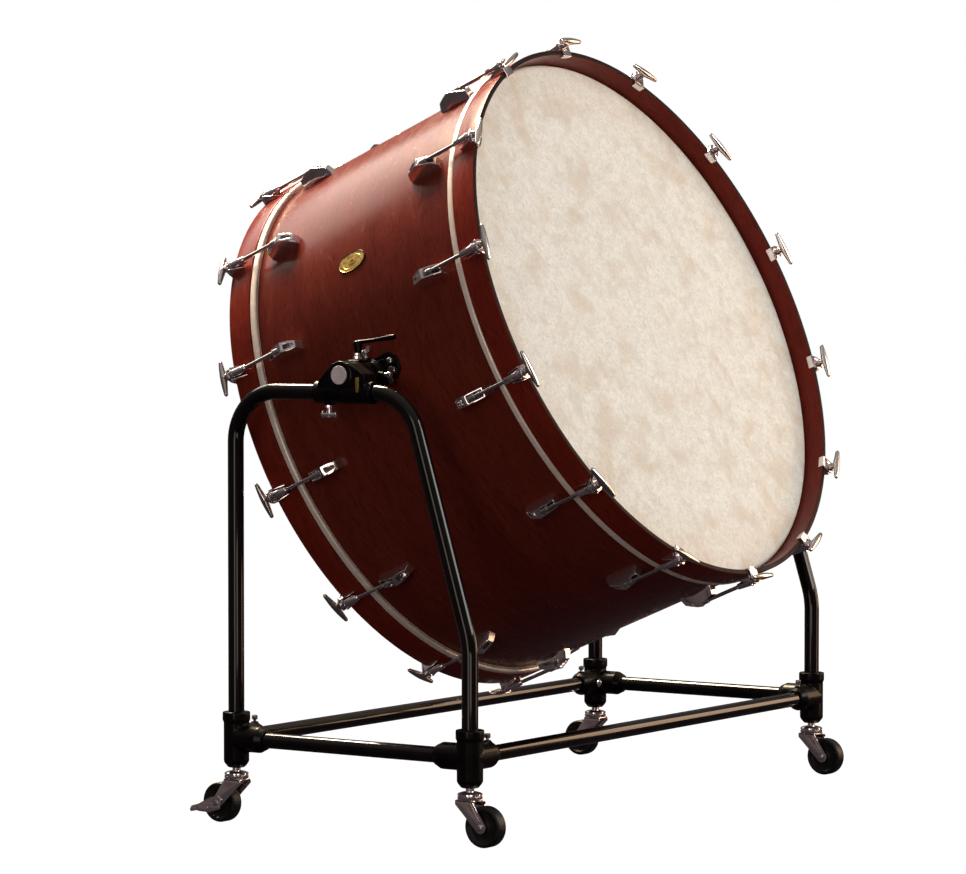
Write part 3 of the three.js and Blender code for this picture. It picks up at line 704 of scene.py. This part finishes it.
def make_brackets():
    skin_x = -SHELL_RADIUS - 0.3
    hub_x = skin_x - 14.25
    base = plate(rounded([(-10, -51), (10, -51), (23, -38), (23, 38), (10, 51), (-10, 51), (-23, 38),
                          (-23, -38)], 5, 4), skin_x - 5, skin_x, "X")
    pad = plate(rounded([(-15, -30), (15, -30), (15, 30), (-15, 30)], 6, 4), skin_x - 9, skin_x - 1, "X")
    hub = turned([(skin_x - 1, 22.5), (-470.0, 21.0), (-474.0, 18.0), (-486.0, 18.0)], 56, "X")
    top_seat = Vector((hub_x, 26, 3))
    side_seat = Vector((hub_x, -11.5, 26))
    side_lean = Vector((0, -6.5, 16))
    horn = bar(top_seat - Vector((0, 14, 0)), top_seat, 6.5, 5.0)
    side_horn = bar(side_seat - side_lean, side_seat, 6.5, 5.0)
    casting = cast(0.9, 4, base, pad, hub, horn, side_horn)
    shaft = turned([(-554.4, 12.4), (-553.8, SHAFT_RADIUS), (-484.0, SHAFT_RADIUS)], 56, "X")
    cap = turned([(-556.5, 11.9), (-555.9, 12.4), (-555.9, 12.9), (-556.5, 13.3), (-556.4, 14.4),
                  (-555.6, 14.8), (-554.5, 14.8)], 64, "X")
    bolts = [soften(turned([(skin_x - 4, 5.4), (skin_x - 8.5, 5.0), (skin_x - 9.6, 3.4)], 6, "X",
                           (0, y, z)), 0.5) for z in (-39, 39) for y in (-8, 8)]
    wing = wing_screw_mesh()
    top_wing = moved(wing, Matrix.Translation(top_seat) @ Matrix.Rotation(math.pi / 2, 4, "Y"))
    tilt = side_lean.to_track_quat("Y", "X").to_matrix().to_4x4()
    side_wing = moved(wing, Matrix.Translation(side_seat) @ tilt)
    for side, flip in SIDES:
        piece(f"{side}_shell_bracket", moved(casting, flip), "drum", cast_black,
              [f"{side}_trunnion"], drum_frame)
        piece(f"{side}_tilt_shaft", moved(joined(shaft, cap), flip), "drum", pale_cap, (),
              drum_frame)
        piece(f"{side}_bracket_screws", moved(joined(*bolts, top_wing, side_wing), flip), "drum", chrome,
              (), drum_frame)


def wing_screw_mesh():
    """A wing screw along +Y with its wings spread along X."""
    stem = turned([(0, 3.2), (7, 3.2), (7.6, 5.2), (12, 5.0), (13.4, 3.8)], 24, "Y")
    wings = []
    for hand in (-1, 1):
        lobe = rounded([(2 * hand, 5.5), (6 * hand, 6.0), (13.0 * hand, 9.5), (14.0 * hand, 15.5),
                        (9.0 * hand, 17.0), (2 * hand, 12.5)], 1.8, 4)
        wings.append(soften(plate(lobe, -1.9, 1.9, "Z"), 0.8))
    return joined(stem, *wings)


# ---------------------------------------------------------------- stand
frame_low, frame_high = (in_mm(corner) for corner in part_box("left_end_frame"))
FRAME_X = (frame_low.x + frame_high.x) / 2
REAR_Y = frame_high.y - TUBE_RADIUS
FRONT_Y = frame_low.y + TUBE_RADIUS
TOP_Z = frame_high.z - TUBE_RADIUS
FOOT_Z = frame_low.z
rail_low, rail_high = (in_mm(corner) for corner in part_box("front_rail"))
RAIL_Z = (rail_low.z + rail_high.z) / 2
PIVOT_Z = pivot.z / MM
CORNER_Y, KNEE_Z = -118.0, 311.0
BEND, KNEE_BEND = 82.0, 150.0


def bent_path(corners, radii, steps=16):
    """A path that turns each inner corner on an arc of the given radius."""
    path = [corners[0]]
    for k, radius in enumerate(radii, 1):
        into = (corners[k] - corners[k - 1]).normalized()
        out = (corners[k + 1] - corners[k]).normalized()
        turn = into.angle(out)
        start = corners[k] - into * radius * math.tan(turn / 2)
        side = (out - into * out.dot(into)).normalized()
        for step in range(steps + 1):
            angle = turn * step / steps
            path.append(start + into * radius * math.sin(angle) + side * radius * (1 - math.cos(angle)))
    path.append(corners[-1])
    return path


def make_frames_and_rails():
    bends = [Vector((FRAME_X, REAR_Y, FOOT_Z)), Vector((FRAME_X, REAR_Y, TOP_Z)),
             Vector((FRAME_X, CORNER_Y, TOP_Z)), Vector((FRAME_X, FRONT_Y, KNEE_Z)),
             Vector((FRAME_X, FRONT_Y, FOOT_Z))]
    tube = swept(bent_path(bends, [BEND, BEND, KNEE_BEND]), TUBE_RADIUS)
    for side, flip in SIDES:
        piece(f"{side}_frame_tube", moved(tube, flip), "stand", tube_black,
              [f"{side}_end_frame"])
    for name in ("left_rail", "right_rail", "front_rail", "rear_rail"):
        low, high = (in_mm(corner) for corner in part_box(name))
        middle = (low + high) / 2
        axis = "X" if high.x - low.x > high.y - low.y else "Y"
        half = (high.x - low.x if axis == "X" else high.y - low.y) / 2
        rail = turned([(-half, RAIL_RADIUS - 0.9), (1.2 - half, RAIL_RADIUS), (half - 1.2, RAIL_RADIUS),
                       (half, RAIL_RADIUS - 0.9)], 48, axis, middle)
        piece(f"{name}_tube", rail, "stand", tube_black, [name])


def fitting_meshes(screw_arm):
    """The left rear corner fitting about its post, and its screws; one arm carries the set screw."""
    sleeve = turned([(90.0, 12.8), (91.0, 14.0), (96.5, 18.6), (100.0, 20.5), (164.4, 20.5), (165.4, 22.3),
                     (178.8, 22.3), (180.0, 21.4)], 64)
    arm, arm_mouth, arm_length, taper = 21.2, 15.8, 61, 11
    parts = [sleeve]
    hardware = []
    for dx, dy in ((1, 0), (0, -1)):
        reach = Vector((dx, dy, 0))
        level = Vector((0, 0, RAIL_Z))
        parts.append(bar(level, level + reach * (arm_length - taper), arm))
        parts.append(bar(level + reach * (arm_length - taper - 1), level + reach * arm_length, arm,
                         arm_mouth))
        if (dx, dy) == screw_arm:
            spot = level + reach * 48
            parts.append(bar(spot + Vector((0, 0, 14)), spot + Vector((0, 0, 22.5)), 6.0))
            hardware.append(turned([(21.0, 2.6), (25.4, 2.6), (25.6, 4.3), (26.4, 4.8), (31.8, 4.8),
                                    (32.6, 4.2)], 20, "Z", spot))
    casting = cast(1.35, 5, *parts)
    post = turned([(FOOT_Z - 1, TUBE_RADIUS + 0.3), (200.0, TUBE_RADIUS + 0.3)], 48)
    rails = [bar((dx * 20, dy * 20, RAIL_Z), (dx * 90, dy * 90, RAIL_Z), RAIL_RADIUS + 0.3) for dx, dy in
             ((1, 0), (0, -1))]
    inward = Matrix.Translation((0, 0, RAIL_Z)) @ Matrix.Rotation(math.radians(-45), 4, "Z")
    washer = turned([(27.0, 7.4), (30.2, 7.4), (30.8, 6.6)], 28, "X")
    bolt = soften(turned([(29.0, 5.8), (34.0, 5.8), (35.0, 4.4)], 6, "X"), 0.5)
    hardware.append(moved(joined(washer, bolt), inward))
    return cut(casting, post, *rails), joined(*hardware)


def make_saddles():
    """The clamps that carry the drum's shafts, each with its T-bolt, its shaft collar and a brass block in a
    pocket of its face; the block's brass colour is a painted reflection.
    """
    x_near, x_far = FRAME_X - 18, FRAME_X + 20
    tube_at, shaft_at = (FRAME_X, 0, TOP_Z), (0, 0, PIVOT_Z)
    bolt_y = 32
    tube = turned([(-56.0, 16.8), (-54.8, 18.0), (54.8, 18.0), (56.0, 16.8)], 56, "Y", tube_at)
    boss = turned([(x_near, 21.0), (x_near + 1.2, 22.0), (x_far - 1.2, 22.0), (x_far, 21.0)], 64, "X",
                  shaft_at)
    web = plate(rounded([(-47, TOP_Z - 4), (47, TOP_Z - 4), (43, TOP_Z + 17), (15, PIVOT_Z + 19),
                         (-15, PIVOT_Z + 19), (-46, PIVOT_Z + 1)], 7, 4), x_near + 1.5, x_far - 1.5, "X")
    foot = bar((FRAME_X, bolt_y, TOP_Z - 12), (FRAME_X, bolt_y, TOP_Z - 20.5), 8.5)
    casting = cast(1.1, 5, tube, boss, web, foot)
    shaft_bore = turned([(x_near - 9, SHAFT_RADIUS + 0.5), (x_far + 9, SHAFT_RADIUS + 0.5)], 56, "X",
                        shaft_at)
    tube_bore = turned([(-70.0, TUBE_RADIUS + 0.35), (70.0, TUBE_RADIUS + 0.35)], 56, "Y", tube_at)
    # a pocket in the face holds a brass block whose colour is a painted reflection, the brass-coloured
    # reflection seen on the clamp
    pocket = block((x_near - 5, -36.5, PIVOT_Z - 28), (x_near + 6, -27.5, PIVOT_Z - 2))
    casting = cut(casting, shaft_bore, tube_bore, pocket)
    brass_reflection_block = soften(block((x_near + 2.6, -35.7, PIVOT_Z - 27), (x_near + 5.6, -28.3, PIVOT_Z - 3)), 0.6)

    bolt = bar((FRAME_X, bolt_y, TOP_Z - 19), (FRAME_X, bolt_y, PIVOT_Z - 66), 5.0, 5.0, 28)
    nut = turned([(TOP_Z - 25, 6.8), (TOP_Z - 24.4, 7.4), (TOP_Z - 20.6, 7.4)], 6, "Z", (FRAME_X, bolt_y, 0))
    handle = turned([(17.5, 3.2), (18.4, 4.9), (22.0, 5.1), (24.0, 4.2), (28.0, 4.2), (30.0, 5.4),
                     (34.0, 5.4), (36.0, 4.2), (40.0, 4.2), (42.0, 5.1), (45.6, 4.9), (46.5, 3.2)],
                    28, "Y", (FRAME_X, 0, PIVOT_Z - 63))
    tee = joined(bolt, soften(nut, 0.4), handle)

    ring = turned([(-515.0, 20.0), (-514.0, 21.0), (-488.0, 21.0), (-487.0, 20.0)], 64, "X", shaft_at)
    ear = block((-513.5, -8.0, PIVOT_Z + 10), (-488.5, 14.0, PIVOT_Z + 23))
    collar_bore = turned([(-525.0, SHAFT_RADIUS + 0.5), (-480.0, SHAFT_RADIUS + 0.5)], 56, "X", shaft_at)
    split = block((-520.0, -30.0, PIVOT_Z - 1.2), (-480.0, -11.0, PIVOT_Z + 1.2))
    collar = cut(cast(0.9, 4, ring, ear), collar_bore, split)
    for side, flip in SIDES:
        piece(f"{side}_saddle", moved(casting, flip), "stand", cast_black,
              [f"{side}_saddle_clamp"])
        piece(f"{side}_saddle_brass_reflection", moved(brass_reflection_block, flip), "stand", badge_brass)
        piece(f"{side}_saddle_bolt", moved(tee, flip), "stand", chrome)
        piece(f"{side}_shaft_collar", moved(collar, flip), "stand", cast_black)


def make_levers():
    low, high = (in_mm(corner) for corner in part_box("left_tilt_lever"))
    place = in_mm(joints["left_lever_turn"]["pos_m"])
    bottom = low.z
    spot = (place.x, place.y, 0)
    nuts = [soften(turned([(bottom, 8.2), (bottom + 5.8, 8.2)], 6, "Z", spot), 0.6),
            soften(turned([(bottom + 6.2, 6.4), (bottom + 10.6, 6.4)], 6, "Z", spot), 0.5)]
    hub = turned([(bottom + 10.4, 5.2), (bottom + 12.0, 5.8), (bottom + 22.0, 7.4), (bottom + 27.0, 8.0),
                  (bottom + 29.0, 7.2), (bottom + 30.0, 5.0)], 36, "Z", spot)
    reach = place.y + 6 - (low.y - 2)
    rings = []
    steps = 24
    for k in range(steps + 1):
        share = k / steps
        end = min(share * steps / 1.5, (1 - share) * steps / 1.5, 1.0)
        fullness = math.sqrt(1 - (1 - end) ** 2) * 0.85 + 0.15
        waist = 1 - 0.28 * math.sin(math.pi * min(share / 0.85, 1.0))
        half_width, half_height = 5.4 * waist * fullness, 4.6 * waist * fullness
        ring = []
        for angle in around(24):
            ring.append((place.x + half_width * math.cos(angle), place.y + 6 - reach * share,
                         bottom + 26.0 + 11.0 * share + half_height * math.sin(angle)))
        rings.append(ring)
    grip = cast(0.8, 3, hub, skin(rings))
    for side, flip in SIDES:
        piece(f"{side}_lever_grip", moved(grip, flip), f"{side}_lever", cast_black,
              [f"{side}_tilt_lever"])
        piece(f"{side}_lever_nuts", moved(joined(*nuts), flip), f"{side}_lever", chrome)


# ---------------------------------------------------------------- casters
# how far each corner's fitting is turned from the left rear one, and which of its arms has the set screw
CORNERS = {
    "left_rear": (0.0, (1, 0)), "left_front": (math.pi / 2, (0, -1)),
    "right_front": (math.pi, (1, 0)), "right_rear": (-math.pi / 2, (0, -1)),
}
TRAIL = 29.0
CHEEK_INNER, CHEEK_OUTER = 12.6, 15.0
RACE_LOW, RACE_HIGH = 72.0, 84.0


def fork_mesh():
    """A pressed fork trailing to -Y from its swivel axis: crown plate and two ribbed cheeks."""
    axle = (-TRAIL, WHEEL_RADIUS)
    outline = [(18.0, 71.6), (18.0, 65.0)] + arc(axle, 9.5, -45, -200, 14) + [(-15.0, 69.0), (-15.0, 71.6)]
    rib = [(12.0, 67.5), (11.5, 64.0), (-23.0, 33.0), (-28.0, 41.0), (-11.0, 67.5)]
    parts = []
    for hand in (-1, 1):
        near, far = sorted((hand * CHEEK_INNER, hand * CHEEK_OUTER))
        parts.append(soften(plate(outline, near, far, "X"), 0.5))
        near, far = sorted((hand * (CHEEK_OUTER - 0.3), hand * (CHEEK_OUTER + 0.9)))
        parts.append(soften(plate(rounded(rib, 2.0, 3), near, far, "X"), 0.7))
    crown = plate(rounded([(-CHEEK_OUTER, -15.0), (CHEEK_OUTER, -15.0), (CHEEK_OUTER, 18.0),
                           (-CHEEK_OUTER, 18.0)], 3.0, 4), 69.3, 72.0, "Z")
    return joined(soften(crown, 0.6), *parts)


def race_mesh():
    """The two dished raceways with the ball gap between them, and the stem up into the post."""
    middle = (RACE_LOW + RACE_HIGH) / 2
    return turned([
        (RACE_LOW - 0.4, 15.0), (RACE_LOW + 0.4, 18.4), (RACE_LOW + 1.6, 19.4), (middle - 1.4, 19.5),
        (middle - 0.9, 18.9), (middle - 0.8, 16.5), (middle + 0.6, 16.5), (middle + 0.7, 18.9),
        (middle + 1.2, 19.5), (middle + 3.2, 19.3), (middle + 4.6, 17.0), (RACE_HIGH, 12.5),
        (RACE_HIGH + 0.6, 8.6), (RACE_HIGH + 1.0, 6.6), (FOOT_Z - 6, 6.4),
    ], 56)


def axle_mesh():
    end = 19.0
    shank = turned([(-end + 0.6, 3.9), (end - 0.6, 3.9)], 28, "X")
    head = soften(turned([(-end, 3.6), (-end + 0.6, 5.2), (-CHEEK_OUTER - 0.2, 5.2)], 6, "X"), 0.4)
    nut = soften(turned([(CHEEK_OUTER + 0.2, 5.4), (end - 0.8, 5.4), (end - 0.4, 4.6)], 6, "X"), 0.4)
    return moved(joined(shank, head, nut), Matrix.Translation((0, -TRAIL, WHEEL_RADIUS)))


def wheel_mesh():
    """A solid rubber wheel about X with rounded shoulders, dished sides and a hub boss."""
    side = [(4.5, -11.6), (8.6, -11.6), (9.6, -10.8), (10.0, -8.0), (12.0, -7.2), (22.0, -7.2), (24.0, -8.0),
            (25.2, -10.0), (27.0, -11.0)]
    side += arc((28.6, -7.6), 3.4, -90, 0, 6)
    return moved(hoop_ring(side + mirrored_z(side), 96), Matrix.Rotation(math.pi / 2, 4, "Y"))


def pedal_mesh():
    """A brake stirrup hung on the axle: two side plates and a ribbed tread beyond the wheel."""
    near, far = CHEEK_OUTER + 1.0, CHEEK_OUTER + 2.6
    side = rounded([(-18.0, 37.0), (-20.5, 22.5), (-43.0, 15.5), (-68.0, 16.0), (-68.0, 26.5), (-40.0, 40.5),
                    (-26.0, 43.0)], 3.6, 4)
    hole = turned([(-40.0, 4.6), (40.0, 4.6)], 24, "X", (0, -TRAIL, WHEEL_RADIUS))
    parts = []
    for low, high in ((-far, -near), (near, far)):
        parts.append(soften(cut(plate(side, low, high, "X"), hole), 0.4))
        ridge = rounded([(-46.0, 24.0), (-64.0, 21.5), (-64.0, 19.5), (-46.0, 19.0)], 0.9, 3)
        out = (low - 0.8, low + 0.3) if low < 0 else (high - 0.3, high + 0.8)
        parts.append(soften(plate(ridge, *out, "X"), 0.4))
    tread = rounded([(-66.0, 17.5), (-80.0, 14.4), (-82.6, 17.0), (-80.5, 22.6), (-66.0, 26.4)], 1.6, 3)
    parts.append(soften(plate(tread, -far, far, "X"), 0.7))
    for k in range(4):
        top = Vector((0, -69.0 - 3.4 * k, 26.1 - 1.0 * k))
        parts.append(bar(top + Vector((-far + 2, 0, 0)), top + Vector((far - 2, 0, 0)), 1.1, 1.1, 12))
    return joined(*parts)


def make_corners():
    fittings = {}
    for arm in ((1, 0), (0, -1)):
        casting, hardware = fitting_meshes(arm)
        fittings[arm] = (finished("corner_fitting", casting), finished("corner_screws", hardware))
    fork_data = finished("caster_fork", fork_mesh())
    race_data = finished("caster_race", race_mesh(), 50)
    axle_data = finished("caster_axle", axle_mesh())
    wheel_data = finished("caster_wheel", wheel_mesh(), 50)
    pedal_data = finished("brake_stirrup", pedal_mesh())
    tab = plate(rounded([(-7.0, -25.5), (7.0, -25.5), (7.0, -13.0), (-7.0, -13.0)], 2.5, 4), 66.0, 70.5, "Z")
    tab_data = finished("fork_tab", soften(tab, 0.8))
    for name, (fitting_turn, screw_arm) in CORNERS.items():
        fitting_data, hardware_data = fittings[screw_arm]
        swivel = Vector(joints[f"{name}_swivel"]["pos_m"])
        roll = Vector(joints[f"{name}_roll"]["pos_m"])
        post = Matrix.Translation((swivel.x, swivel.y, 0))
        trailing = 0.0 if roll.y < swivel.y else math.pi
        caster = post @ Matrix.Rotation(trailing, 4, "Z")
        corner = post @ Matrix.Rotation(fitting_turn, 4, "Z")
        piece(f"{name}_casting", fitting_data, "stand", cast_black, [f"{name}_fitting"], corner)
        piece(f"{name}_screws", hardware_data, "stand", chrome, (), corner)
        piece(f"{name}_caster_fork", fork_data, f"{name}_caster", chrome, [f"{name}_fork"], caster)
        piece(f"{name}_caster_race", race_data, f"{name}_caster", chrome, (), caster)
        piece(f"{name}_caster_axle", axle_data, f"{name}_caster", satin_steel, (), caster)
        piece(f"{name}_tyre", wheel_data, f"{name}_roller", tyre_black, [f"{name}_wheel"],
              Matrix.Translation(roll))
        if f"{name}_brake" in frame["bodies"]:
            piece(f"{name}_brake_stirrup", pedal_data, f"{name}_brake", chrome,
                  [f"{name}_brake_pedal"], caster)
        else:
            piece(f"{name}_fork_tab", tab_data, f"{name}_caster", cast_black, (), caster)


# ---------------------------------------------------------------- studio
def area_light(name, place, aim, size, power, colour):
    light = bpy.data.lights.new(name, "AREA")
    light.shape = "RECTANGLE"
    light.size, light.size_y = size
    light.energy = power
    light.color = colour
    item = bpy.data.objects.new(name, light)
    item.location = place
    item.rotation_mode = "QUATERNION"
    item.rotation_quaternion = (Vector(aim) - Vector(place)).to_track_quat("-Z", "Y")
    item.visible_camera = False
    scene.collection.objects.link(item)


def glowing_white(name, glow, reflect):
    """A plain white that gives most of its brightness itself, so that shadows on it stay faint."""
    look = Look(name, Emission_Strength=glow, Roughness=0.9, Specular_IOR_Level=0.0)
    look.shader.inputs["Base Color"].default_value = (reflect, reflect, reflect, 1.0)
    look.shader.inputs["Emission Color"].default_value = (1.0, 1.0, 1.0, 1.0)
    return look.material


def stage_object(name, mesh, material):
    item = bpy.data.objects.new(name, finished(name, mesh, 180))
    item.data.materials.append(material)
    scene.collection.objects.link(item)
    item.visible_diffuse = False
    item.visible_glossy = False
    item.visible_shadow = False


def make_studio():
    floor_half, dome = 16000.0, 15000.0
    floor = block((-floor_half, -floor_half, -20.0), (floor_half, floor_half, 0.0))
    stage_object("studio_floor", floor, glowing_white("studio_floor_white", 1.0, 0.02))
    backdrop = turned([(-30.0, dome)] + [(dome * math.sin(math.radians(a)), dome * math.cos(math.radians(a)))
                                         for a in range(5, 90, 5)], 64)
    bmesh.ops.reverse_faces(backdrop, faces=backdrop.faces)
    stage_object("studio_backdrop", backdrop, glowing_white("studio_backdrop_white", 1.0, 0.0))

    make_world()
    middle = (0.0, 0.0, 0.73)
    area_light("head_softbox", (1.3, -4.2, 2.7), middle, (2.6, 2.2), 128.0, (1.0, 0.995, 0.985))
    area_light("shell_softbox", (0.65, 3.15, 3.0), (0.0, 0.0, 0.95), (2.3, 1.0), 34.0, (1.0, 0.93, 0.83))
    area_light("top_softbox", (0.83, 2.2, 4.1), middle, (1.5, 1.5), 740.0, (1.0, 0.81, 0.57))
    area_light("left_card", (-4.3, -1.0, 1.1), middle, (1.2, 2.8), 26.0, (1.0, 0.88, 0.78))
    area_light("low_card", (-1.7, -1.35, 0.16), (0.0, 0.0, 0.6), (0.7, 0.25), 1.3, (1.0, 0.86, 0.80))
    area_light("warm_strip", (4.1, -2.3, 1.35), (0.0, 0.0, 0.55), (1.3, 2.4), 54.0, (1.0, 0.66, 0.42))
    area_light("post_strip", (2.75, -3.8, 0.75), (0.0, 0.0, 0.55), (0.6, 2.2), 28.0, (1.0, 0.64, 0.40))
    area_light("edge_card", (2.7, 2.7, 3.3), (0.0, 0.0, 0.7), (0.6, 1.5), 7.0, (1.0, 0.86, 0.74))


def make_world():
    """Dim surroundings, lighter overhead, that fill the shadows and show in the gloss."""
    world = bpy.data.worlds.new("studio_dim")
    world.use_nodes = True
    tree = world.node_tree
    coordinate = tree.nodes.new("ShaderNodeTexCoord")
    split = tree.nodes.new("ShaderNodeSeparateXYZ")
    height = tree.nodes.new("ShaderNodeMapRange")
    ramp = tree.nodes.new("ShaderNodeValToRGB")
    height.inputs["From Min"].default_value = -1.0
    tree.links.new(coordinate.outputs["Generated"], split.inputs[0])
    tree.links.new(split.outputs["Z"], height.inputs["Value"])
    tree.links.new(height.outputs["Result"], ramp.inputs[0])
    tree.links.new(ramp.outputs[0], tree.nodes["Background"].inputs["Color"])
    set_stops(ramp, (
        (0.0, (0.028, 0.023, 0.028)), (0.36, (0.050, 0.039, 0.043)), (0.47, (0.11, 0.083, 0.078)),
        (0.53, (0.06, 0.046, 0.043)), (0.63, (0.10, 0.083, 0.080)), (0.80, (0.30, 0.28, 0.275)),
        (1.0, (0.42, 0.395, 0.39)),
    ))
    scene.world = world


def make_camera():
    azimuth, elevation, distance = math.radians(-55.758), math.radians(2.132), 6.3714
    aim = pivot + Vector((0.0, 0.1051, -0.1162))
    back = Vector((math.sin(azimuth) * math.cos(elevation), -math.cos(azimuth) * math.cos(elevation),
                   math.sin(elevation)))
    camera = bpy.data.cameras.new("studio_camera")
    camera.sensor_width = 36.0
    camera.lens = 139.38
    camera.clip_end = 60.0
    item = bpy.data.objects.new("studio_camera", camera)
    item.location = aim + back * distance
    item.rotation_mode = "QUATERNION"
    item.rotation_quaternion = (-back).to_track_quat("-Z", "Y")
    scene.collection.objects.link(item)
    scene.camera = item


make_camera()
make_shell()
make_heads()
make_tension_gear()
make_badge()
make_brackets()
make_frames_and_rails()
make_saddles()
make_levers()
make_corners()
make_studio()
scene.view_settings.view_transform = "Standard"
